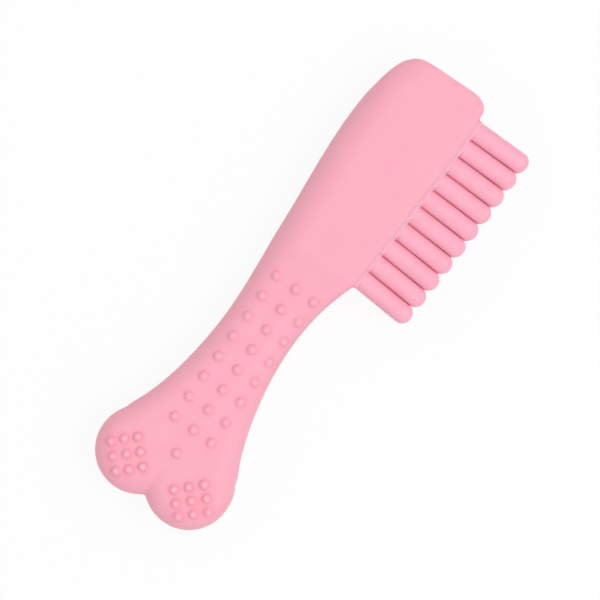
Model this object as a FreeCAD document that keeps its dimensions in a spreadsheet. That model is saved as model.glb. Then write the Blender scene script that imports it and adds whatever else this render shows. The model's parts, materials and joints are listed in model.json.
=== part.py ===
"""Bone-handled pet toothbrush: one soft rubber moulding with a field of bendable bristles.

Frame: +X runs along the handle to the nose of the brush head, +Y is the smooth back (spine) of the
head, the bristles point to -Y, and +Z is the thickness. The toy lies on its back face at Z = 0, with
the origin in the middle of its box. All sizes are in millimetres.
"""
import FreeCAD, Part
import math
import os

import Sketcher

V = FreeCAD.Vector

# ----------------------------------------------------------------------------------------------
# Driving sizes: name, value, meaning
# ----------------------------------------------------------------------------------------------
SIZES = [
    ("head_cheek", 0.72, "outer side of the bristle rows to the head's face"),
    ("flat_cut", 0.02, "cut off each side of the head's blank to make its two flat faces"),
    ("head_front", 8.0, "reach of the head on the bristle side, beside the nose"),
    ("head_spine_round", 8.2, "corner radius of the head on the spine side"),
    ("head_front_round", 1.2, "corner radius of the head on the bristle side"),
    ("heel_x", 10.3, "plane where the brush head meets the grip"),
    ("heel_margin", 0.2, "heel plane to the side of the last bristle"),
    ("nose_margin", 5.9, "side of the first bristle to the nose edge"),
    ("shoulder_gap", 20.0, "heel plane to the shoulder station"),
    ("belly_gap", 25.4, "nose edge back to the widest station"),
    ("crown_gap", 12.4, "nose edge back to the crown station"),
    ("trim_overrun", 1.0, "head's blank and its trimming outline, past each other"),
    ("nose_slant", 2.3, "lean of the nose edge, degrees"),
    ("nose_spine_round", 7.0, "plan radius of the nose corner on the spine side"),
    ("nose_front_round", 5.0, "plan radius of the nose corner on the bristle side"),
    ("taper_angle", 13.5, "lean of the spine edge beside the nose, degrees"),
    ("taper_start_gap", 15.4, "nose edge back to where the spine edge starts to lean"),
    ("taper_start_spine", 21.0, "spine reach where it starts to lean"),
    ("bristle_diameter", 5.22, "bristle"),
    ("bristle_gap", 0.45, "slot between two bristles, along the row and across it"),
    ("bristle_length", 16.9, "pad face to bristle tip"),
    ("bend_height", 3.0, "pad face to the point a bristle bends about"),
    ("root_sink", 0.6, "depth of a bristle's rounded root below the pad face"),
    ("seat_clearance", 0.15, "root to its dimple in the pad"),
    ("pad_depth", 1.45, "pad face in front of the head"),
    ("pad_overlap", 4.0, "pad blank inside the head, before it is cut to the head"),
    ("row_radius", 780.0, "radius of the gentle arc that the bristle row follows"),
    ("apex_x", 60.0, "where the row is parallel to the handle"),
    ("grip_length", 61.3, "heel plane to the plane where the grip meets the bone end"),
    ("throat_gap", 4.8, "heel plane to the throat station"),
    ("neck_gap", 9.3, "heel plane to the neck station"),
    ("waist_gap", 24.3, "heel plane to the waist station"),
    ("palm_gap", 21.0, "bone plane to the palm station"),
    ("flare_gap", 9.0, "bone plane to the flare station"),
    ("lobe_radius", 12.25, "plan radius of a bone lobe"),
    ("lobe_half", 8.0, "half thickness of a bone lobe"),
    ("lobe_round", 6.0, "rim radius of a bone lobe"),
    ("lobe_gap", 9.15, "bone plane to the centre of both lobes"),
    ("bone_axis_y", 5.65, "line that the two lobes mirror about"),
    ("lobe_spacing", 16.7, "centre to centre of the lobes"),
    ("flank_inset", 2.85, "lobes' outer edge in to the grip's edge at the bone plane"),
    ("web_gap", 9.0, "bone plane to the end of the web between the lobes"),
    ("web_inset", 1.05, "lobes' outer edge in to the web's edge at its end"),
    ("nub_radius", 1.5, "sphere of a grip nub"),
    ("nub_sink", 0.5, "grip nub's centre below the skin"),
    ("nub_start_gap", 10.0, "heel plane to the first row of grip nubs"),
    ("nub_end_gap", 4.05, "last row of grip nubs to the bone plane"),
    ("nub_left_y", 11.6, "spine-side column of nubs"),
    ("nub_centre_y", 5.25, "centre column of nubs"),
    ("nub_right_y", -0.75, "bristle-side column of nubs"),
    ("last_nub_gap", 3.8, "bone plane to the single nub between the lobes"),
    ("lobe_nub_radius", 1.28, "sphere of a lobe nub"),
    ("lobe_nub_sink", 0.35, "lobe nub's centre below the skin"),
    ("lobe_nub_out_pitch", 4.15, "step of the lobe's nub grid that runs outward to the head"),
    ("lobe_nub_in_pitch", 3.75, "step of the lobe's nub grid that runs inward to the head"),
    ("lobe_nub_back", 2.85, "lobe centre back to its nub grid"),
    ("lobe_nub_out", 10.85, "centre column of nubs out to a lobe's nub grid"),
    ("lobe_nub_turn", 45.0, "lean of the nub grid's steps to the handle, degrees"),
]

BRISTLES_PER_ROW = 10
ROWS = {"front": 1, "middle": 0, "back": -1}
GRIP_NUB_ROWS = 8

# ----------------------------------------------------------------------------------------------
# Sizes that follow from the driving ones, as expressions
# ----------------------------------------------------------------------------------------------
PITCH = "(Sizes.bristle_diameter + Sizes.bristle_gap)"
ROW_LENGTH = f"({BRISTLES_PER_ROW - 1} * {PITCH} + Sizes.bristle_diameter)"
ROW_START = "(Sizes.heel_x + Sizes.heel_margin)"
ROW_END = f"({ROW_START} + {ROW_LENGTH})"
NOSE_X = f"({ROW_END} + Sizes.nose_margin)"
BONE_X = "(Sizes.heel_x - Sizes.grip_length)"
LOBE_X = f"({BONE_X} - Sizes.lobe_gap)"
LOBE_SPINE_REACH = "(Sizes.lobe_spacing / 2 + Sizes.lobe_radius + Sizes.bone_axis_y)"
LOBE_FRONT_REACH = "(Sizes.lobe_spacing / 2 + Sizes.lobe_radius - Sizes.bone_axis_y)"
PAD_FACE = "(Sizes.head_front + Sizes.pad_depth)"
PAD_HEIGHT = f"({len(ROWS) - 1} * {PITCH} + Sizes.bristle_diameter)"
HEAD_HALF = f"({PAD_HEIGHT} / 2 + Sizes.head_cheek)"
ROOT_RADIUS = "(Sizes.bend_height + Sizes.root_sink)"

# Stations of the moulding's skin, from the nose to the bone end: place along X, reach of the spine
# side (+Y) and of the bristle side (-Y), half thickness, and the corner radius on each side. A number
# is that station's own size; words are sizes that it shares.
STATION_FIELDS = ("x", "spine", "front", "half", "spine_round", "front_round")
HEAD_BLOCK = (HEAD_HALF, "Sizes.head_spine_round", "Sizes.head_front_round")
LOBE_BLOCK = ("Sizes.lobe_half", "Sizes.lobe_round", "Sizes.lobe_round")
STATIONS = {
    "prow": (f"{NOSE_X} + Sizes.trim_overrun", 17.6, "Sizes.head_front", *HEAD_BLOCK),
    "crown": (f"{NOSE_X} - Sizes.crown_gap", 20.7, "Sizes.head_front", *HEAD_BLOCK),
    "belly": (f"{NOSE_X} - Sizes.belly_gap", 21.5, 7.95, *HEAD_BLOCK),
    "shoulder": ("Sizes.heel_x + Sizes.shoulder_gap", 20.55, 7.55, *HEAD_BLOCK),
    "heel": ("Sizes.heel_x", 18.8, 7.1, *HEAD_BLOCK),
    "throat": ("Sizes.heel_x - Sizes.throat_gap", 18.3, 5.6, 8.4, 7.6, 2.5),
    "neck": ("Sizes.heel_x - Sizes.neck_gap", 17.85, 4.5, 7.9, 7.0, 4.0),
    "waist": ("Sizes.heel_x - Sizes.waist_gap", 16.85, 3.2, 7.2, 6.6, 6.4),
    "palm": (f"{BONE_X} + Sizes.palm_gap", 17.8, 5.1, 7.4, 6.6, 6.4),
    "flare": (f"{BONE_X} + Sizes.flare_gap", 20.1, 8.4, 7.8, 6.3, 6.2),
    "bone": (BONE_X, f"{LOBE_SPINE_REACH} - Sizes.flank_inset",
             f"{LOBE_FRONT_REACH} - Sizes.flank_inset", *LOBE_BLOCK),
    "web": (f"{BONE_X} - Sizes.web_gap", f"{LOBE_SPINE_REACH} - Sizes.web_inset",
            f"{LOBE_FRONT_REACH} - Sizes.web_inset", *LOBE_BLOCK),
}

doc = FreeCAD.newDocument("pet_toothbrush")


# ----------------------------------------------------------------------------------------------
# Size sheet
# ----------------------------------------------------------------------------------------------
def make_sheet():
    """Put every driving size in one sheet, a row each: name, value, meaning."""
    rows = list(SIZES)
    for station, values in STATIONS.items():
        for field, value in zip(STATION_FIELDS, values):
            if not isinstance(value, str):
                rows.append((f"{station}_{field}", value, f"{station} station: {field}"))
    made = doc.addObject("Spreadsheet::Sheet", "Sizes")
    for row, (name, value, meaning) in enumerate(rows, start=1):
        made.set(f"A{row}", name)
        made.set(f"B{row}", str(value))
        made.set(f"C{row}", meaning)
        made.setAlias(f"B{row}", name)
    doc.recompute()
    return made


sheet = make_sheet()


def size(name):
    """A driving size as a number."""
    return float(getattr(sheet, name))


def value_of(expression):
    """The number that an expression on the size sheet gives."""
    return float(sheet.evalExpression(expression))


def station_size(station, field):
    """The expression for one size of a station."""
    value = STATIONS[station][STATION_FIELDS.index(field)]
    return value if isinstance(value, str) else f"Sizes.{station}_{field}"


# ----------------------------------------------------------------------------------------------
# Helpers
# ----------------------------------------------------------------------------------------------
def origin_plane(body, role):
    """One of a body's own origin planes."""
    return next(item for item in body.Origin.OriginFeatures if item.Role == role)


def new_sketch(body, name, role):
    """A sketch on one of the body's origin planes."""
    sketch = body.newObject("Sketcher::SketchObject", name)
    sketch.AttachmentSupport = [(origin_plane(body, role), "")]
    sketch.MapMode = "FlatFace"
    return sketch


def add_box(label, **sizes):
    """A box whose sizes and corner follow expressions."""
    box = doc.addObject("Part::Box", label)
    for name in ("Length", "Width", "Height"):
        box.setExpression(name, sizes[name])
    for axis in "xyz":
        box.setExpression(f"Placement.Base.{axis}", sizes[axis])
    return box


def add_boolean(kind, label, base, tool):
    """A cut or common of two objects."""
    result = doc.addObject(f"Part::{kind}", label)
    result.Base = base
    result.Tool = tool
    return result


def station_sketch(body, station, spare):
    """Cross-section at a station: a rectangle with a large round on each side, and spare thickness."""
    sizes = [value_of(station_size(station, field)) for field in STATION_FIELDS[1:]]
    spine, front, half, spine_round, front_round = sizes
    sketch = new_sketch(body, f"{body.Name}_{station}", "YZ_Plane")
    sketch.setExpression("AttachmentOffset.Base.y", HEAD_HALF)
    sketch.setExpression("AttachmentOffset.Base.z", station_size(station, "x"))
    corners = [
        (V(spine - spine_round, half - spine_round, 0), spine_round, 0),
        (V(front_round - front, half - front_round, 0), front_round, 90),
        (V(front_round - front, front_round - half, 0), front_round, 180),
        (V(spine - spine_round, spine_round - half, 0), spine_round, 270),
    ]
    arcs = []
    for centre, radius, start in corners:
        circle = Part.Circle(centre, V(0, 0, 1), radius)
        arc = Part.ArcOfCircle(circle, math.radians(start), math.radians(start + 90))
        arcs.append(sketch.addGeometry(arc))
    lines = []
    for first, second in zip(arcs, arcs[1:] + arcs[:1]):
        line = Part.LineSegment(sketch.getPoint(first, 2), sketch.getPoint(second, 1))
        lines.append(sketch.addGeometry(line))
        sketch.addConstraint(Sketcher.Constraint("Tangent", first, 2, lines[-1], 1))
        sketch.addConstraint(Sketcher.Constraint("Tangent", lines[-1], 2, second, 1))
    top, front_side, bottom, spine_side = lines
    for line in (top, bottom):
        sketch.addConstraint(Sketcher.Constraint("Horizontal", line))
    for line in (front_side, spine_side):
        sketch.addConstraint(Sketcher.Constraint("Vertical", line))
    sketch.addConstraint(Sketcher.Constraint("Equal", arcs[0], arcs[3]))
    sketch.addConstraint(Sketcher.Constraint("Equal", arcs[1], arcs[2]))
    driven = [
        (Sketcher.Constraint("Radius", arcs[0], spine_round), "spine_round"),
        (Sketcher.Constraint("Radius", arcs[1], front_round), "front_round"),
        (Sketcher.Constraint("DistanceY", -1, 1, top, 1, half), "half"),
        (Sketcher.Constraint("DistanceY", bottom, 1, -1, 1, half), "half"),
        (Sketcher.Constraint("DistanceX", -1, 1, spine_side, 1, spine), "spine"),
        (Sketcher.Constraint("DistanceX", front_side, 1, -1, 1, front), "front"),
    ]
    for constraint, field in driven:
        index = sketch.addConstraint(constraint)
        expression = station_size(station, field)
        if field == "half":
            expression = f"{expression} + {spare}"
        sketch.setExpression(f"Constraints[{index}]", expression)
    return sketch


def add_skin(label, stations, spare="0"):
    """A body whose skin runs smoothly through the named stations, with spare thickness on each side."""
    body = doc.addObject("PartDesign::Body", label)
    sketches = [station_sketch(body, station, spare) for station in stations]
    doc.recompute()
    loft = body.newObject("PartDesign::AdditiveLoft", f"{label}_skin")
    loft.Profile = (sketches[0], [""])
    loft.Sections = [(sketch, [""]) for sketch in sketches[1:]]
    body.Tip = loft
    doc.recompute()
    return body


def polygon_pad(label, points, height):
    """A body padded to both sides of the parting plane from a closed outline of named points.

    Each point is a pair of expressions, in the plane of the toy.
    """
    body = doc.addObject("PartDesign::Body", label)
    sketch = new_sketch(body, f"{label}_outline", "XY_Plane")
    sketch.setExpression("AttachmentOffset.Base.z", HEAD_HALF)
    spots = [V(value_of(x), value_of(y), 0) for x, y in points]
    lines = []
    for start, end in zip(spots, spots[1:] + spots[:1]):
        lines.append(sketch.addGeometry(Part.LineSegment(start, end)))
    for first, second in zip(lines, lines[1:] + lines[:1]):
        sketch.addConstraint(Sketcher.Constraint("Coincident", first, 2, second, 1))
    for line, spot, expressions in zip(lines, spots, points):
        for kind, value, expression in zip(("DistanceX", "DistanceY"), (spot.x, spot.y), expressions):
            index = sketch.addConstraint(Sketcher.Constraint(kind, -1, 1, line, 1, value))
            sketch.setExpression(f"Constraints[{index}]", expression)
    pad = body.newObject("PartDesign::Pad", f"{label}_pad")
    pad.Profile = (sketch, [""])
    pad.SideType = "Symmetric"
    pad.setExpression("Length", height)
    body.Tip = pad
    doc.recompute()
    return body


def round_upright_edge(body, label, near, radius):
    """Round the upright edge of the body that stands nearest to a spot in plan."""
    base = body.Tip
    spot = V(near.x, near.y, value_of(HEAD_HALF))
    upright = []
    for number, edge in enumerate(base.Shape.Edges, start=1):
        box = edge.BoundBox
        if box.XLength < 0.01 and box.YLength < 0.01:
            upright.append(((edge.CenterOfMass - spot).Length, number))
    fillet = body.newObject("PartDesign::Fillet", label)
    fillet.Base = (base, [f"Edge{min(upright)[1]}"])
    fillet.setExpression("Radius", radius)
    body.Tip = fillet
    doc.recompute()
    return fillet


# ----------------------------------------------------------------------------------------------
# Brush head: a flat-faced block with a full-round spine, trimmed to the rounded nose in plan
# ----------------------------------------------------------------------------------------------
def make_brush_head():
    """The head's blank, cut to its flat faces and to the outline with the two nose corners."""
    skin = add_skin("head_blank", ["heel", "shoulder", "belly", "crown", "prow"], "Sizes.flat_cut")
    rise = "tan(Sizes.taper_angle * 1 deg)"
    slant = "tan(Sizes.nose_slant * 1 deg)"
    start_x = f"({NOSE_X} - Sizes.taper_start_gap)"
    front = "(-Sizes.head_front - Sizes.trim_overrun)"
    back_x = "(Sizes.heel_x - Sizes.trim_overrun)"
    corner_y = f"(Sizes.taper_start_spine - Sizes.taper_start_gap * {rise})"
    corner_x = f"({NOSE_X} - ({corner_y} + Sizes.head_front) * {slant})"
    points = [
        (back_x, front),
        (NOSE_X, front),
        (corner_x, corner_y),
        (back_x, f"(Sizes.taper_start_spine + ({start_x} - {back_x}) * {rise})"),
    ]
    outline = polygon_pad("nose_outline", points, f"2 * {HEAD_HALF}")
    front_corner = V(value_of(NOSE_X), value_of(front), 0)
    spine_corner = V(value_of(corner_x), value_of(corner_y), 0)
    front_round = "Sizes.nose_front_round + Sizes.trim_overrun"
    round_upright_edge(outline, "nose_front_corner", front_corner, front_round)
    round_upright_edge(outline, "nose_spine_corner", spine_corner, "Sizes.nose_spine_round")
    return add_boolean("Common", "brush_head", skin, outline)


# ----------------------------------------------------------------------------------------------
# Bone end: two round lobes on a web, parted between the lobes
# ----------------------------------------------------------------------------------------------
def add_lobe_puck(label, centre_y):
    """A round lobe with a large rim radius, turned about its own upright axis."""
    body = doc.addObject("PartDesign::Body", label)
    radius, half, rim = size("lobe_radius"), size("lobe_half"), size("lobe_round")
    sketch = new_sketch(body, f"{label}_profile", "XZ_Plane")
    flat, wall = radius - rim, half - rim
    upper = Part.Circle(V(flat, wall, 0), V(0, 0, 1), rim)
    lower = Part.Circle(V(flat, -wall, 0), V(0, 0, 1), rim)
    top = sketch.addGeometry(Part.LineSegment(V(flat, half, 0), V(0, half, 0)))
    axis = sketch.addGeometry(Part.LineSegment(V(0, half, 0), V(0, -half, 0)))
    bottom = sketch.addGeometry(Part.LineSegment(V(0, -half, 0), V(flat, -half, 0)))
    low_arc = sketch.addGeometry(Part.ArcOfCircle(lower, math.radians(270), math.radians(360)))
    side = sketch.addGeometry(Part.LineSegment(V(radius, -wall, 0), V(radius, wall, 0)))
    top_arc = sketch.addGeometry(Part.ArcOfCircle(upper, 0, math.radians(90)))
    joins = [
        ("Coincident", top, 2, axis, 1),
        ("Coincident", axis, 2, bottom, 1),
        ("Tangent", bottom, 2, low_arc, 1),
        ("Tangent", low_arc, 2, side, 1),
        ("Tangent", side, 2, top_arc, 1),
        ("Tangent", top_arc, 2, top, 1),
        ("Horizontal", top),
        ("Horizontal", bottom),
        ("Vertical", side),
        ("PointOnObject", axis, 1, -2),
        ("PointOnObject", axis, 2, -2),
        ("Equal", low_arc, top_arc),
    ]
    for join in joins:
        sketch.addConstraint(Sketcher.Constraint(*join))
    driven = [
        (Sketcher.Constraint("Radius", top_arc, rim), "Sizes.lobe_round"),
        (Sketcher.Constraint("DistanceY", -1, 1, top, 1, half), "Sizes.lobe_half"),
        (Sketcher.Constraint("DistanceY", bottom, 1, -1, 1, half), "Sizes.lobe_half"),
        (Sketcher.Constraint("DistanceX", -1, 1, side, 1, radius), "Sizes.lobe_radius"),
    ]
    for constraint, expression in driven:
        index = sketch.addConstraint(constraint)
        sketch.setExpression(f"Constraints[{index}]", expression)
    turned = body.newObject("PartDesign::Revolution", f"{label}_turned")
    turned.Profile = (sketch, [""])
    turned.ReferenceAxis = (sketch, ["V_Axis"])
    turned.Angle = 360
    body.Tip = turned
    body.setExpression("Placement.Base.x", LOBE_X)
    body.setExpression("Placement.Base.y", centre_y)
    body.setExpression("Placement.Base.z", HEAD_HALF)
    doc.recompute()
    return body


def make_bone_lobes():
    """The two lobes with their share of the web, parted on the bone's own axis."""
    web = add_skin("bone_web", ["bone", "web"])
    left_puck = add_lobe_puck("left_puck", "Sizes.bone_axis_y + Sizes.lobe_spacing / 2")
    right_puck = add_lobe_puck("right_puck", "Sizes.bone_axis_y - Sizes.lobe_spacing / 2")
    blank = doc.addObject("Part::MultiFuse", "bone_blank")
    blank.Shapes = [web, left_puck, right_puck]
    blank.Refine = True
    # a box on each side of the bone's axis, larger than the bone every way
    reach = "3 * Sizes.lobe_radius"
    deep = "3 * Sizes.lobe_half"
    low = f"{HEAD_HALF} - 1.5 * Sizes.lobe_half"
    end = f"{BONE_X} - {reach}"
    left_side = add_box("left_side", Length=reach, Width=reach, Height=deep,
                        x=end, y="Sizes.bone_axis_y", z=low)
    right_side = add_box("right_side", Length=reach, Width=reach, Height=deep,
                         x=end, y=f"Sizes.bone_axis_y - {reach}", z=low)
    left = add_boolean("Common", "bone_lobe_left", blank, left_side)
    right = add_boolean("Common", "bone_lobe_right", blank, right_side)
    return left, right


# ----------------------------------------------------------------------------------------------
# Bristles: round, dome-tipped, each with a ball-shaped root in a dimple of the pad
# ----------------------------------------------------------------------------------------------
def row_angle(place):
    """Angle of a place in the row on its arc, as an expression; place 0 is beside the nose."""
    steps = BRISTLES_PER_ROW - 1 - place
    along = f"({ROW_START} + Sizes.bristle_diameter / 2 + {steps} * {PITCH} - Sizes.apex_x)"
    return f"({along} / Sizes.row_radius * 1 rad)"


def place_at_bend(item, place, row):
    """Put an object's origin at the point where this bristle bends, turned to its direction."""
    angle = row_angle(place)
    radius = "(Sizes.row_radius + Sizes.bend_height)"
    item.setExpression("Placement.Base.x", f"Sizes.apex_x + {radius} * sin({angle})")
    item.setExpression("Placement.Base.y", f"Sizes.row_radius - {PAD_FACE} - {radius} * cos({angle})")
    item.setExpression("Placement.Base.z", f"{HEAD_HALF} + {row} * {PITCH}")
    item.setExpression("Placement.Rotation.Angle", angle)


def bristle_profile():
    """Half section of a bristle: the bend point is the origin and the tip points to -Y."""
    radius, root = size("bristle_diameter") / 2, value_of(ROOT_RADIUS)
    reach = size("bristle_length") - size("bend_height")
    rim = math.sqrt(root ** 2 - radius ** 2)
    sketch = doc.addObject("Sketcher::SketchObject", "bristle_profile")
    root_circle = Part.Circle(V(0, 0, 0), V(0, 0, 1), root)
    tip_circle = Part.Circle(V(0, radius - reach, 0), V(0, 0, 1), radius)
    root_arc = sketch.addGeometry(Part.ArcOfCircle(root_circle, math.atan2(rim, radius), math.pi / 2))
    axis = sketch.addGeometry(Part.LineSegment(V(0, root, 0), V(0, -reach, 0)))
    tip_arc = sketch.addGeometry(Part.ArcOfCircle(tip_circle, -math.pi / 2, 0))
    side = sketch.addGeometry(Part.LineSegment(V(radius, radius - reach, 0), V(radius, rim, 0)))
    joins = [
        ("Coincident", root_arc, 2, axis, 1),
        ("Coincident", axis, 2, tip_arc, 1),
        ("Tangent", tip_arc, 2, side, 1),
        ("Coincident", side, 2, root_arc, 1),
        ("Coincident", root_arc, 3, -1, 1),
        ("PointOnObject", axis, 1, -2),
        ("PointOnObject", axis, 2, -2),
        ("PointOnObject", tip_arc, 3, -2),
        ("Vertical", side),
    ]
    for join in joins:
        sketch.addConstraint(Sketcher.Constraint(*join))
    driven = [
        (Sketcher.Constraint("Radius", root_arc, root), ROOT_RADIUS),
        (Sketcher.Constraint("Radius", tip_arc, radius), "Sizes.bristle_diameter / 2"),
        (Sketcher.Constraint("DistanceY", axis, 2, -1, 1, reach), "Sizes.bristle_length - Sizes.bend_height"),
    ]
    for constraint, expression in driven:
        index = sketch.addConstraint(constraint)
        sketch.setExpression(f"Constraints[{index}]", expression)
    doc.recompute()
    return sketch


def make_bristles():
    """Three rows of ten bristles, one object each."""
    profile = bristle_profile()
    made = []
    for row_name, row in ROWS.items():
        for place in range(BRISTLES_PER_ROW):
            bristle = doc.addObject("Part::Revolution", f"bristle_{row_name}_{place + 1:02d}")
            bristle.Source = profile
            bristle.Axis = V(0, 1, 0)
            bristle.Angle = 360
            bristle.Solid = True
            place_at_bend(bristle, place, row)
            made.append(bristle)
    return made


def make_bristle_pad(head):
    """The raised pad that carries the bristles, seated on the head and dimpled for the roots."""
    body = doc.addObject("PartDesign::Body", "pad_blank")
    sketch = new_sketch(body, "pad_blank_outline", "XY_Plane")
    sketch.setExpression("AttachmentOffset.Base.z", HEAD_HALF)
    start, end = value_of(ROW_START), value_of(ROW_END)
    inside = size("head_front") - size("pad_overlap")
    radius, apex = size("row_radius"), size("apex_x")
    centre = V(apex, radius - value_of(PAD_FACE), 0)
    angles = [math.asin((x - apex) / radius) - math.pi / 2 for x in (start, end)]
    face = sketch.addGeometry(Part.ArcOfCircle(Part.Circle(centre, V(0, 0, 1), radius), *angles))
    nose_side = sketch.addGeometry(Part.LineSegment(sketch.getPoint(face, 2), V(end, -inside, 0)))
    back = sketch.addGeometry(Part.LineSegment(V(end, -inside, 0), V(start, -inside, 0)))
    heel_side = sketch.addGeometry(Part.LineSegment(V(start, -inside, 0), sketch.getPoint(face, 1)))
    joins = [
        ("Coincident", face, 2, nose_side, 1),
        ("Coincident", nose_side, 2, back, 1),
        ("Coincident", back, 2, heel_side, 1),
        ("Coincident", heel_side, 2, face, 1),
        ("Vertical", nose_side),
        ("Vertical", heel_side),
        ("Horizontal", back),
    ]
    for join in joins:
        sketch.addConstraint(Sketcher.Constraint(*join))
    driven = [
        (Sketcher.Constraint("Radius", face, radius), "Sizes.row_radius"),
        (Sketcher.Constraint("DistanceX", -1, 1, face, 3, apex), "Sizes.apex_x"),
        (Sketcher.Constraint("DistanceY", -1, 1, face, 3, centre.y), f"Sizes.row_radius - {PAD_FACE}"),
        (Sketcher.Constraint("DistanceX", -1, 1, heel_side, 1, start), ROW_START),
        (Sketcher.Constraint("DistanceX", -1, 1, nose_side, 2, end), ROW_END),
        (Sketcher.Constraint("DistanceY", back, 1, -1, 1, inside), "Sizes.head_front - Sizes.pad_overlap"),
    ]
    for constraint, expression in driven:
        index = sketch.addConstraint(constraint)
        sketch.setExpression(f"Constraints[{index}]", expression)
    pad = body.newObject("PartDesign::Pad", "pad_blank_pad")
    pad.Profile = (sketch, [""])
    pad.SideType = "Symmetric"
    pad.setExpression("Length", PAD_HEIGHT)
    body.Tip = pad
    doc.recompute()
    dimples = []
    for row_name, row in ROWS.items():
        for place in range(BRISTLES_PER_ROW):
            dimple = doc.addObject("Part::Sphere", f"dimple_{row_name}_{place + 1:02d}")
            dimple.setExpression("Radius", f"{ROOT_RADIUS} + Sizes.seat_clearance")
            place_at_bend(dimple, place, row)
            dimples.append(dimple)
    cutter = doc.addObject("Part::MultiFuse", "pad_cutter")
    cutter.Shapes = [head] + dimples
    return add_boolean("Cut", "bristle_pad", body, cutter)


# ----------------------------------------------------------------------------------------------
# Nubs: small domes that stand square on the skin, on both faces
# ----------------------------------------------------------------------------------------------
def skin_height(skin, x, y):
    """Height of the skin's upper side over a spot in plan."""
    mid = value_of(HEAD_HALF)
    probe = Part.makeLine(V(x, y, mid), V(x, y, 3 * mid))
    under = [piece for piece in skin if piece.BoundBox.isInside(V(x, y, mid))]
    return max(piece.common(probe).BoundBox.ZMax for piece in under)


def dome(skin, x, y, radius, sink):
    """A sphere sunk into the skin along its local normal, with the part inside the skin cut off."""
    step = 0.1
    along = skin_height(skin, x + step, y) - skin_height(skin, x - step, y)
    across = skin_height(skin, x, y + step) - skin_height(skin, x, y - step)
    normal = V(-along, -across, 2 * step).normalize()
    centre = V(x, y, skin_height(skin, x, y)) - normal * sink
    ball = Part.makeSphere(radius, centre)
    touched = [piece for piece in skin if piece.BoundBox.intersect(ball.BoundBox)]
    return ball.cut(touched)


def add_nubs(label, skin, spots, radius, sink):
    """A group of nubs on the front face, with its mirror image on the back face."""
    front = doc.addObject("Part::Feature", label.format("front"))
    domes = [dome(skin, x, y, radius, sink) for x, y in spots]
    front.Shape = Part.makeCompound([solid for made in domes for solid in made.Solids])
    back = doc.addObject("Part::Mirroring", label.format("back"))
    back.Source = front
    back.Normal = V(0, 0, 1)
    back.setExpression("Base.z", HEAD_HALF)
    return [front, back]


def make_nubs(grip, lobes):
    """Three columns of grip nubs, and a leaning grid of nine on each lobe, mirrored about the centre column."""
    skin = [grip.Shape] + [lobe.Shape for lobe in lobes]
    bone_x = value_of(BONE_X)
    first, last = size("heel_x") - size("nub_start_gap"), bone_x + size("nub_end_gap")
    rows = [first + (last - first) * row / (GRIP_NUB_ROWS - 1) for row in range(GRIP_NUB_ROWS)]
    groups = []
    for column in ("left", "centre", "right"):
        spots = [(x, size(f"nub_{column}_y")) for x in rows]
        if column == "centre":
            spots.append((bone_x - size("last_nub_gap"), size("nub_centre_y")))
        label = "grip_nubs_{}_" + column
        groups += add_nubs(label, skin, spots, size("nub_radius"), size("nub_sink"))
    lean = math.radians(size("lobe_nub_turn"))
    step = V(math.cos(lean), math.sin(lean), 0)
    outward_step = step * size("lobe_nub_out_pitch")
    inward_step = V(step.x, -step.y, 0) * size("lobe_nub_in_pitch")
    middle = V(value_of(LOBE_X) - size("lobe_nub_back"), size("lobe_nub_out"), 0)
    for column, side in (("left", 1), ("right", -1)):
        spots = []
        for outward in (-1, 0, 1):
            for inward in (-1, 0, 1):
                spot = middle + outward_step * outward + inward_step * inward
                spots.append((spot.x, size("nub_centre_y") + side * spot.y))
        label = "lobe_nubs_{}_" + column
        groups += add_nubs(label, skin, spots, size("lobe_nub_radius"), size("lobe_nub_sink"))
    return groups


# ----------------------------------------------------------------------------------------------
# Build, check and export
# ----------------------------------------------------------------------------------------------
brush_head = make_brush_head()
grip_handle = add_skin("grip_handle", ["heel", "throat", "neck", "waist", "palm", "flare", "bone"])
lobe_pair = make_bone_lobes()
bristle_pad = make_bristle_pad(brush_head)
bristles = make_bristles()
doc.recompute()
nub_groups = make_nubs(grip_handle, lobe_pair)
doc.recompute()

nodes = [brush_head, grip_handle, *lobe_pair, bristle_pad, *bristles, *nub_groups]

for item in doc.Objects:
    if {"Invalid", "Error"} & set(item.State):
        raise RuntimeError(f"{item.Label} did not build: {item.State}")
for node in nodes:
    if node.Shape.isNull() or not node.Shape.isValid() or not node.Shape.Solids:
        raise RuntimeError(f"{node.Label} has no valid solid")

os.makedirs("parts", exist_ok=True)
whole = FreeCAD.BoundBox()
for node in nodes:
    node.Shape.exportStep(f"parts/{node.Label}.step")
    whole.add(node.Shape.optimalBoundingBox(False))
    print(f"{node.Label:24s} solids {len(node.Shape.Solids):2d}  volume {node.Shape.Volume:9.2f}")
print(f"box X {whole.XMin:.2f} {whole.XMax:.2f}  Y {whole.YMin:.2f} {whole.YMax:.2f}  "
      f"Z {whole.ZMin:.2f} {whole.ZMax:.2f}")
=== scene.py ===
import json
import math

import bmesh
import bpy
from mathutils import Matrix, Vector
from mathutils.bvhtree import BVHTree
from mathutils.kdtree import KDTree


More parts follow.
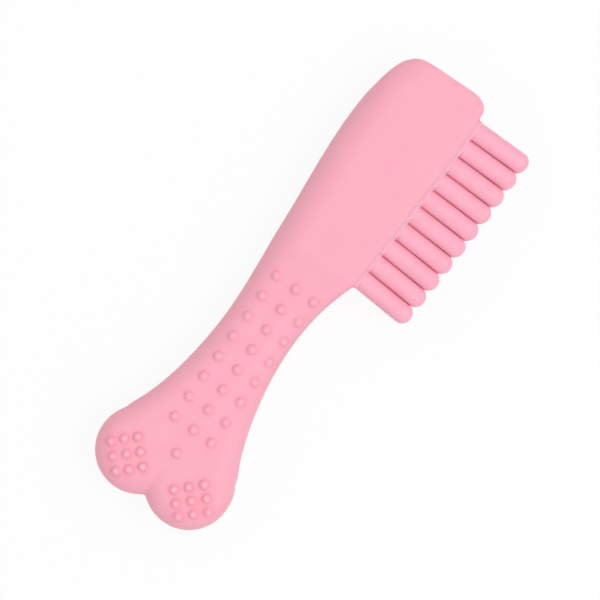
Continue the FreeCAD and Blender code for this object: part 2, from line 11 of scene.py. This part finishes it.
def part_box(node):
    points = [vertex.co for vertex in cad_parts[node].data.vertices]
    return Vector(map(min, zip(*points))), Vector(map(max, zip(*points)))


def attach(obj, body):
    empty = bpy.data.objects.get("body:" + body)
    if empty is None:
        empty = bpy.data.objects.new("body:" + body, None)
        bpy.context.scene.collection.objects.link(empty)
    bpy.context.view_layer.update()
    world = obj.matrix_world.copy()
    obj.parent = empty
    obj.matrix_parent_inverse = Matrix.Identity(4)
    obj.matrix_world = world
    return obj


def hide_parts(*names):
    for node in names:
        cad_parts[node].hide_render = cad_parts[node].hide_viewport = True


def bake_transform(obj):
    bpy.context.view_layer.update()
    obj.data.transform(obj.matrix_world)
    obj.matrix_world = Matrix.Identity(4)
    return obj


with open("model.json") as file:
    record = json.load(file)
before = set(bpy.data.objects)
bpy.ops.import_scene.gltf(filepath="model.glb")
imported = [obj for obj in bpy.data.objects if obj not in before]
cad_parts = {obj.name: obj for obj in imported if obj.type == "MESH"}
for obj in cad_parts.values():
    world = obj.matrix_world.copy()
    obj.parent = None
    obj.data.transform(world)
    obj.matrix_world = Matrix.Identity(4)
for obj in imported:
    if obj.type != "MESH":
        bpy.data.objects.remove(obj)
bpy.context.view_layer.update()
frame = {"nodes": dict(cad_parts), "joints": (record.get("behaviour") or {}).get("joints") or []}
MM = 0.001

BODY = "moulded_body"
SKIN_NODES = ("brush_head", "grip_handle", "bone_lobe_left", "bone_lobe_right")

# The moulded skin. A moulding has no sharp edge: every corner of the cavity leaves about a millimetre of
# round.
SKIN_GRAIN = 0.62 * MM
SKIN_ROUNDING_PASSES = 10
MERGE_DISTANCE = 0.002 * MM

# Two places where the outline bows out: middle and half length along the toy, side (1 is the spine, -1 the
# bristle side), where the bow starts and is full across the toy, and its amount.
NOSE_SWELL = (63 * MM, 8 * MM, 1, 8 * MM, 18 * MM, 0.45 * MM)
BONE_SWELL = (-52.5 * MM, 8.5 * MM, -1, 1 * MM, 12 * MM, 0.4 * MM)

# The raised pad that the bristles grow from follows the gentle arc of the bristle tips. Its root is sunk
# into the head, and its rounded edges are drawn back out to stand a hair proud of the bristles' crowns.
ROW_ARC_RADIUS = 780 * MM
ROW_ARC_APEX = 60 * MM
PAD_ROOT = 2.0 * MM
PAD_EDGE = 0.5 * MM
PAD_PROUD = 0.05 * MM
PAD_DRAW = 1.2 * MM
PAD_CUTS = 23
PAD_EDGE_SEGMENTS = 3

# Nubs: radius of the dome, how far its centre is sunk, how softly it runs into the skin, and how strongly
# light and shade are painted on it. The painted light is kept on the mesh as an attribute: above 0 on top of
# a nub (painted highlight), below 0 at its foot (painted shade), and 0 on the plain skin.
GRIP_NUB = (1.6 * MM, 0.62 * MM, 0.36 * MM, 0.22)
LOBE_NUB = (1.5 * MM, 0.52 * MM, 0.36 * MM, 0.45)
NUB_PAINTED_LIGHT = "nub_painted_light"
# how far the painted shade reaches out round each nub's foot; the skin is also refined this far round a dome
NUB_SHADE_RING = 1.3 * MM

# Bristles: sizes along their length, from the pad's face outwards. A section is its half width along the
# row, its half height across the toy, and how square it is: a slightly squared circle on the shaft, and a
# rounded block at the foot, inside the pad.
BRISTLE_RADIUS = 2.61 * MM
BRISTLE_LENGTH = 16.9 * MM
BRISTLE_BEND = 3.0 * MM
BRISTLE_ROOT = 2.4 * MM
BRISTLE_SIDES = 40
FOOT_STEPS = 8
SHAFT_STEPS = 14
TIP_STEPS = 9
SHAFT_SECTION = (2.83 * MM, 2.61 * MM, 2.3)
FOOT_SECTION = (2.95 * MM, 2.72 * MM, 16.0)
FOOT_START = -0.2 * MM
FOOT_END = 0.15 * MM


# ----------------------------------------------------------------------------------------------
# Materials
# ----------------------------------------------------------------------------------------------
def linear(hex_code):
    """An sRGB hex colour as linear red, green, blue, alpha."""
    parts = [int(hex_code[i:i + 2], 16) / 255 for i in (0, 2, 4)]
    return [c / 12.92 if c <= 0.04045 else ((c + 0.055) / 1.055) ** 2.4 for c in parts] + [1.0]


def add_node(tree, kind, links=None, **settings):
    """A node with its settings, and its inputs linked to sockets or set to values."""
    node = tree.nodes.new(kind)
    for name, value in settings.items():
        setattr(node, name, value)
    for name, value in (links or {}).items():
        if isinstance(value, bpy.types.NodeSocket):
            tree.links.new(value, node.inputs[name])
        else:
            node.inputs[name].default_value = value
    return node


def moulded_rubber(name, pale, deep, grain_depth, gloss, soak, seam_height, painted_light=None, painted_shade=None):
    """Injection-moulded thermoplastic rubber, satin. It is soft and slightly see-through, so light soaks in
    and glows in thin places, and it takes the fine spark-eroded grain of the mould's steel."""
    material = bpy.data.materials.new(name)
    material.use_nodes = True
    tree = material.node_tree
    tree.nodes.clear()
    place = add_node(tree, "ShaderNodeTexCoord").outputs["Object"]
    # pigment is never perfectly mixed: clouds about 9 mm across, and streaks of flow along the toy
    clouds = add_node(tree, "ShaderNodeTexNoise", {"Vector": place, "Scale": 110.0, "Detail": 3.0,
                                                   "Roughness": 0.55})
    flow = add_node(tree, "ShaderNodeMapping", {"Vector": place, "Scale": (45.0, 190.0, 190.0)})
    streaks = add_node(tree, "ShaderNodeTexNoise", {"Vector": flow.outputs[0], "Scale": 1.0, "Detail": 2.0})
    mixed = add_node(tree, "ShaderNodeMath", {0: clouds.outputs["Fac"], 1: streaks.outputs["Fac"]},
                     operation="ADD")
    spread = add_node(tree, "ShaderNodeMapRange", {"Value": mixed.outputs[0], "From Min": 0.7,
                                                   "From Max": 1.3})
    pigment = add_node(tree, "ShaderNodeMix", {"Factor": spread.outputs[0], 6: linear(pale), 7: linear(deep)},
                       data_type="RGBA")
    colour = pigment.outputs["Result"]
    if painted_light:
        # painted highlight: the tops of the nubs are painted paler; painted shade: the rubber round their
        # feet is painted a deeper pink
        light_paint_share = add_node(tree, "ShaderNodeAttribute", attribute_name=NUB_PAINTED_LIGHT).outputs["Fac"]
        shade = add_node(tree, "ShaderNodeMath", {0: light_paint_share, 1: -1.0}, operation="MULTIPLY", use_clamp=True)
        highlit = add_node(tree, "ShaderNodeMath", {0: light_paint_share, 1: 1.0}, operation="MULTIPLY", use_clamp=True)
        dark = add_node(tree, "ShaderNodeMix", {"Factor": shade.outputs[0], 6: colour, 7: linear(painted_shade)},
                        data_type="RGBA")
        light = add_node(tree, "ShaderNodeMix", {"Factor": highlit.outputs[0], 6: dark.outputs["Result"],
                                                 7: linear(painted_light)}, data_type="RGBA")
        colour = light.outputs["Result"]
    # mould grain is about 0.2 mm, drawn at 0.5 mm so that it shows
    grain = add_node(tree, "ShaderNodeTexNoise", {"Vector": place, "Scale": 2000.0, "Detail": 2.0,
                                                  "Roughness": 0.6})
    # handling polishes the rubber unevenly, in patches about 4 mm across
    polish = add_node(tree, "ShaderNodeTexNoise", {"Vector": place, "Scale": 250.0, "Detail": 2.0})
    rough = add_node(tree, "ShaderNodeMapRange", {"Value": polish.outputs["Fac"], "From Min": 0.3,
                                                  "From Max": 0.7, "To Min": gloss - 0.05,
                                                  "To Max": gloss + 0.07})
    bump = add_node(tree, "ShaderNodeBump", {"Height": grain.outputs["Fac"], "Strength": 1.0,
                                             "Distance": grain_depth})
    if seam_height:
        # the two halves of the mould meet halfway up and leave a hairline of flash, about 0.2 mm wide
        height = add_node(tree, "ShaderNodeSeparateXYZ", {0: place}).outputs["Z"]
        off = add_node(tree, "ShaderNodeMath", {0: height, 1: seam_height}, operation="SUBTRACT")
        away = add_node(tree, "ShaderNodeMath", {0: off.outputs[0]}, operation="ABSOLUTE")
        line = add_node(tree, "ShaderNodeMapRange", {"Value": away.outputs[0], "From Min": 0.00004,
                                                     "From Max": 0.00016, "To Min": 1.0, "To Max": 0.0})
        bump = add_node(tree, "ShaderNodeBump", {"Height": line.outputs[0], "Strength": 1.0,
                                                 "Distance": 0.00008, "Normal": bump.outputs[0]})
    shader = add_node(tree, "ShaderNodeBsdfPrincipled", {
        "Base Color": colour, "Roughness": rough.outputs[0], "Normal": bump.outputs[0]})
    shader.inputs["IOR"].default_value = 1.5
    shader.inputs["Specular IOR Level"].default_value = 0.35
    shader.inputs["Subsurface Weight"].default_value = 0.4
    shader.inputs["Subsurface Radius"].default_value = (1.0, 0.2, 0.26)
    shader.inputs["Subsurface Scale"].default_value = soak
    add_node(tree, "ShaderNodeOutputMaterial", {"Surface": shader.outputs[0]})
    return material


# The palest pink is painted highlight on the nubs' tops and the deepest pink painted shade round their feet.
body_rubber = moulded_rubber("satin_moulded_tpr", "fab0c1", "f8acbd", 0.000035, 0.52, 2.0 * MM, 9.0 * MM,
                             painted_light="ffc4d1", painted_shade="f593a9")
bristle_rubber = moulded_rubber("smooth_moulded_tpr", "fab1c5", "f9aec2", 0.000015, 0.44, 1.1 * MM, None)


# ----------------------------------------------------------------------------------------------
# Mesh helpers
# ----------------------------------------------------------------------------------------------
def add_piece(name, bm, material):
    """An object at the origin from a bmesh, smooth shaded."""
    for face in bm.faces:
        face.smooth = True
    mesh = bpy.data.meshes.new(name)
    bm.to_mesh(mesh)
    bm.free()
    mesh.materials.append(material)
    piece = bpy.data.objects.new(name, mesh)
    bpy.context.scene.collection.objects.link(piece)
    return piece


def merged_copy(node):
    """A bmesh of one CAD node with its loose triangles merged."""
    bm = bmesh.new()
    bm.from_mesh(frame["nodes"][node].data)
    bmesh.ops.remove_doubles(bm, verts=bm.verts, dist=MERGE_DISTANCE)
    return bm


def turned(profile, sides):
    """A closed body turned about Z from (radius, height) points that start and end on the axis."""
    bm = bmesh.new()
    verts = [bm.verts.new((radius, 0, height)) for radius, height in profile]
    edges = [bm.edges.new(pair) for pair in zip(verts, verts[1:])]
    bmesh.ops.spin(bm, geom=verts + edges, cent=(0, 0, 0), axis=(0, 0, 1), angle=math.tau, steps=sides,
                   use_merge=True)
    bmesh.ops.remove_doubles(bm, verts=bm.verts, dist=0.001 * MM)
    bmesh.ops.recalc_face_normals(bm, faces=bm.faces)
    return bm


def islands(bm):
    """The separate closed shells of a bmesh, as lists of vertices."""
    left = set(bm.verts)
    found = []
    while left:
        start = left.pop()
        island, queue = [start], [start]
        while queue:
            for edge in queue.pop().link_edges:
                for vert in edge.verts:
                    if vert in left:
                        left.remove(vert)
                        island.append(vert)
                        queue.append(vert)
        found.append(island)
    return found


# ----------------------------------------------------------------------------------------------
# Skin: head, pad, grip and bone end in one moulding, with its nubs raised from it
# ----------------------------------------------------------------------------------------------
def pad_block():
    """The pad as a long block that follows the arc of the bristle row, sunk into the head."""
    low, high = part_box("bristle_pad")
    high.y += PAD_ROOT
    size = high - low
    bm = bmesh.new()
    bmesh.ops.create_cube(bm, size=1, matrix=Matrix.LocRotScale((low + high) / 2, None, size))
    long_edges = [edge for edge in bm.edges if abs(edge.verts[0].co.x - edge.verts[1].co.x) > size.x / 2]
    bmesh.ops.subdivide_edges(bm, edges=long_edges, cuts=PAD_CUTS, use_grid_fill=True)
    for vert in bm.verts:
        if vert.co.y < low.y + PAD_EDGE:
            vert.co.y += (vert.co.x - ROW_ARC_APEX) ** 2 / (2 * ROW_ARC_RADIUS)
    sharp = [edge for edge in bm.edges if edge.calc_face_angle() > 1]
    bmesh.ops.bevel(bm, geom=sharp, offset=PAD_EDGE, offset_type="OFFSET", segments=PAD_EDGE_SEGMENTS,
                    profile=0.5, affect="EDGES", material=-1)
    return bm


def fused(bmeshes):
    """One seamless shell around overlapping and touching shells, with every edge softly rounded."""
    joined = bpy.data.meshes.new("joined_shells")
    collected = bmesh.new()
    for bm in bmeshes:
        bm.to_mesh(joined)
        bm.free()
        collected.from_mesh(joined)
    collected.to_mesh(joined)
    collected.free()
    blank = bpy.data.objects.new("joined_shells", joined)
    bpy.context.scene.collection.objects.link(blank)
    fuse = blank.modifiers.new("fuse", "REMESH")
    fuse.mode = "VOXEL"
    fuse.voxel_size = SKIN_GRAIN
    ease = blank.modifiers.new("ease", "SMOOTH")
    ease.factor = 0.5
    ease.iterations = SKIN_ROUNDING_PASSES
    shaped = bpy.data.meshes.new_from_object(blank.evaluated_get(bpy.context.evaluated_depsgraph_get()))
    bpy.data.objects.remove(blank)
    bm = bmesh.new()
    bm.from_mesh(shaped)
    return bm


def swell(bm, middle_x, half_length, side, inner_y, outer_y, amount):
    """Bow the outline out on one side of the toy, most at middle_x, without moving the faces up or down."""
    for vert in bm.verts:
        along = (vert.co.x - middle_x) / half_length
        across = (vert.co.y * side - inner_y) / (outer_y - inner_y)
        if abs(along) < 1 and across > 0:
            vert.co.y += side * amount * min(across, 1) * (0.5 + 0.5 * math.cos(math.pi * along))


def level_pad(bm):
    """Draw the pad's rounded edges back out to the crowns of the bristles, so that they run into it."""
    low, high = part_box("bristle_pad")
    head_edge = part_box("brush_head")[0].y - PAD_EDGE / 2
    middle, reach = (low.z + high.z) / 2, (high.z - low.z) / 2 + PAD_PROUD
    for vert in bm.verts:
        height = vert.co.z - middle
        beside = low.x + PAD_EDGE < vert.co.x < high.x - PAD_EDGE
        if beside and vert.co.y < head_edge and reach - PAD_DRAW < abs(height) < reach:
            vert.co.z = middle + math.copysign(reach, height)


def nub_spots(skin_tree, nodes):
    """Foot and direction of every nub in the named CAD nodes."""
    spots = []
    for node in nodes:
        bm = merged_copy(node)
        for island in islands(bm):
            centre = sum((vert.co for vert in island), Vector()) / len(island)
            foot, normal, _, _ = skin_tree.find_nearest(centre)
            spots.append((foot, normal))
        bm.free()
    return spots


def raise_nubs(bm, spots, shape):
    """Refine the skin around each spot and push a dome out of it, with a soft foot. Painted highlight is
    marked on the dome and painted shade round its foot.
    """
    radius, sink, foot_round, painted_light = shape
    near = KDTree(len(spots))
    for number, (foot, _) in enumerate(spots):
        near.insert(foot, number)
    near.balance()
    reach = radius + NUB_SHADE_RING
    around = [face for face in bm.faces if near.find(face.calc_center_median())[2] < reach + SKIN_GRAIN]
    edges = {edge for face in around for edge in face.edges}
    bmesh.ops.subdivide_edges(bm, edges=list(edges), cuts=2, use_grid_fill=True)
    light_paint_share = bm.verts.layers.float.get(NUB_PAINTED_LIGHT) or bm.verts.layers.float.new(NUB_PAINTED_LIGHT)
    base = math.sqrt(radius ** 2 - sink ** 2)
    for vert in bm.verts:
        _, number, distance = near.find(vert.co)
        if distance > base + NUB_SHADE_RING:
            continue
        foot, normal = spots[number]
        offset = vert.co - foot
        out = (offset - normal * offset.dot(normal)).length
        # painted highlight on the dome, fading to painted shade in a ring round its foot
        if out < base:
            vert[light_paint_share] = painted_light * math.cos(math.pi * out / base)
        else:
            vert[light_paint_share] = -painted_light * max(1 - (out - base) / NUB_SHADE_RING, 0)
        rise = math.sqrt(max(radius ** 2 - out ** 2, 0)) - sink
        if rise < -foot_round:
            continue
        if rise < foot_round:
            rise = (rise + foot_round) ** 2 / (4 * foot_round)
        vert.co += normal * rise


def make_skin():
    """The whole moulding but its bristles."""
    bm = fused([merged_copy(node) for node in SKIN_NODES] + [pad_block()])
    level_pad(bm)
    swell(bm, *NOSE_SWELL)
    swell(bm, *BONE_SWELL)
    nub_nodes = [name for name in frame["nodes"] if "nubs" in name]
    grip_nodes = [name for name in nub_nodes if name.startswith("grip")]
    lobe_nodes = [name for name in nub_nodes if name.startswith("lobe")]
    tree = BVHTree.FromBMesh(bm)
    grip_spots, lobe_spots = nub_spots(tree, grip_nodes), nub_spots(tree, lobe_nodes)
    raise_nubs(bm, grip_spots, GRIP_NUB)
    raise_nubs(bm, lobe_spots, LOBE_NUB)
    bmesh.ops.triangulate(bm, faces=[face for face in bm.faces if len(face.verts) > 4])
    skin = add_piece("moulded_skin", bm, body_rubber)
    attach(skin, BODY)
    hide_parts(*SKIN_NODES, "bristle_pad", *nub_nodes)


# ----------------------------------------------------------------------------------------------
# Bristles
# ----------------------------------------------------------------------------------------------
def bristle_profile():
    """(radius, height) from the sunk root to the tip: a foot, a straight shaft and a round end."""
    radius = BRISTLE_RADIUS
    points = [(0, -BRISTLE_ROOT), (radius, -BRISTLE_ROOT)]
    for step in range(FOOT_STEPS + 1):
        points.append((radius, FOOT_START + (FOOT_END - FOOT_START) * step / FOOT_STEPS))
    shaft_end = BRISTLE_LENGTH - radius
    for step in range(1, SHAFT_STEPS + 1):
        points.append((radius, FOOT_END + (shaft_end - FOOT_END) * step / SHAFT_STEPS))
    for step in range(1, TIP_STEPS + 1):
        turn = math.radians(90 * step / TIP_STEPS)
        points.append((radius * math.cos(turn), shaft_end + radius * math.sin(turn)))
    points[-1] = (0, BRISTLE_LENGTH)
    return points


def shape_section(bm):
    """Square up a turned bristle: a little on its shaft, and fully at its foot."""
    for vert in bm.verts:
        share = min(max((FOOT_END - vert.co.z) / (FOOT_END - FOOT_START), 0), 1)
        share = share * share * (3 - 2 * share)
        sections = zip(SHAFT_SECTION, FOOT_SECTION)
        width, height, power = (shaft + (foot - shaft) * share for shaft, foot in sections)
        across, up = vert.co.x / BRISTLE_RADIUS, vert.co.y / BRISTLE_RADIUS
        reach = math.hypot(across, up)
        if reach:
            square = (abs(across / reach) ** power + abs(up / reach) ** power) ** (-1 / power)
            vert.co.x, vert.co.y = across * width * square, up * height * square


def make_bristle(joint, profile):
    """One bristle. It stands on the pad and passes through its joint's bend point, where it curves."""
    bend, axis = Vector(joint["pos_m"]), Vector(joint["axis"]).normalized()
    along = Vector((axis.y, -axis.x, 0))
    foot = bend - along * BRISTLE_BEND
    bm = turned(profile, BRISTLE_SIDES)
    shape_section(bm)
    turn = Matrix((axis, along.cross(axis), along)).transposed().to_4x4()
    bmesh.ops.transform(bm, matrix=Matrix.Translation(foot) @ turn, verts=bm.verts)
    name = joint["child"]
    piece = add_piece(f"{name}_rubber", bm, bristle_rubber)
    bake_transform(piece)
    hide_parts(name)


make_skin()
shared_profile = bristle_profile()
for bend_joint in frame["joints"]:
    make_bristle(bend_joint, shared_profile)


# ----------------------------------------------------------------------------------------------
# Stage: pale floor, soft lamps and the camera
# ----------------------------------------------------------------------------------------------
def make_floor():
    """A white sweep that looks white and still takes the toy's soft shadow."""
    bm = bmesh.new()
    bmesh.ops.create_grid(bm, x_segments=1, y_segments=1, size=3)
    material = bpy.data.materials.new("white_sweep_paper")
    material.use_nodes = True
    tree = material.node_tree
    tree.nodes.clear()
    paper = add_node(tree, "ShaderNodeBsdfDiffuse", {"Color": linear("f2f2f2")})
    white = add_node(tree, "ShaderNodeEmission", {"Color": linear("ffffff"), "Strength": 1.0})
    path = add_node(tree, "ShaderNodeLightPath")
    seen = add_node(tree, "ShaderNodeMath", {0: path.outputs["Is Camera Ray"],
                                             1: path.outputs["Is Glossy Ray"]}, operation="MAXIMUM")
    share = add_node(tree, "ShaderNodeMath", {0: seen.outputs[0], 1: 0.9}, operation="MULTIPLY")
    look = add_node(tree, "ShaderNodeMixShader", {0: share.outputs[0], 1: paper.outputs[0],
                                                  2: white.outputs[0]})
    add_node(tree, "ShaderNodeOutputMaterial", {"Surface": look.outputs[0]})
    floor = add_piece("floor", bm, material)


def add_lamp(name, place, size, power):
    """A square soft lamp aimed at the toy."""
    data = bpy.data.lights.new(name, "AREA")
    data.size = size
    data.energy = power
    lamp = bpy.data.objects.new(name, data)
    lamp.location = place
    lamp.rotation_euler = (-Vector(place)).to_track_quat("-Z", "Y").to_euler()
    bpy.context.scene.collection.objects.link(lamp)


def make_light():
    """A large key over the bristle side, a soft top lamp and even light all round."""
    add_lamp("key", (0.22, -0.5, 1.0), 0.8, 4.6)
    add_lamp("top", (0.0, 0.1, 1.3), 1.0, 3.2)
    world = bpy.data.worlds.new("soft_room")
    bpy.context.scene.world = world
    world.use_nodes = True
    tree = world.node_tree
    tree.nodes.clear()
    room = add_node(tree, "ShaderNodeBackground", {"Color": linear("ffffff"), "Strength": 0.62})
    white = add_node(tree, "ShaderNodeBackground", {"Color": linear("ffffff"), "Strength": 1.0})
    path = add_node(tree, "ShaderNodeLightPath")
    mix = add_node(tree, "ShaderNodeMixShader", {0: path.outputs["Is Camera Ray"], 1: room.outputs[0],
                                                 2: white.outputs[0]})
    add_node(tree, "ShaderNodeOutputWorld", {"Surface": mix.outputs[0]})


def make_camera():
    """Straight down with a long lens. The toy's long axis leans 36 degrees clockwise from upright."""
    data = bpy.data.cameras.new("camera")
    data.lens = 300
    data.sensor_width = 36
    width = 163.92 * MM
    target = Vector((-1.26 * MM, 2.56 * MM, 13 * MM))
    distance = width / 2 / math.tan(data.angle / 2)
    data.clip_end = 10
    camera = bpy.data.objects.new("camera", data)
    camera.location = target + Vector((0, 0, distance))
    camera.rotation_euler = (0, 0, math.radians(36 - 90))
    bpy.context.scene.collection.objects.link(camera)
    bpy.context.scene.camera = camera


make_floor()
make_light()
make_camera()
bpy.context.scene.view_settings.view_transform = "Standard"
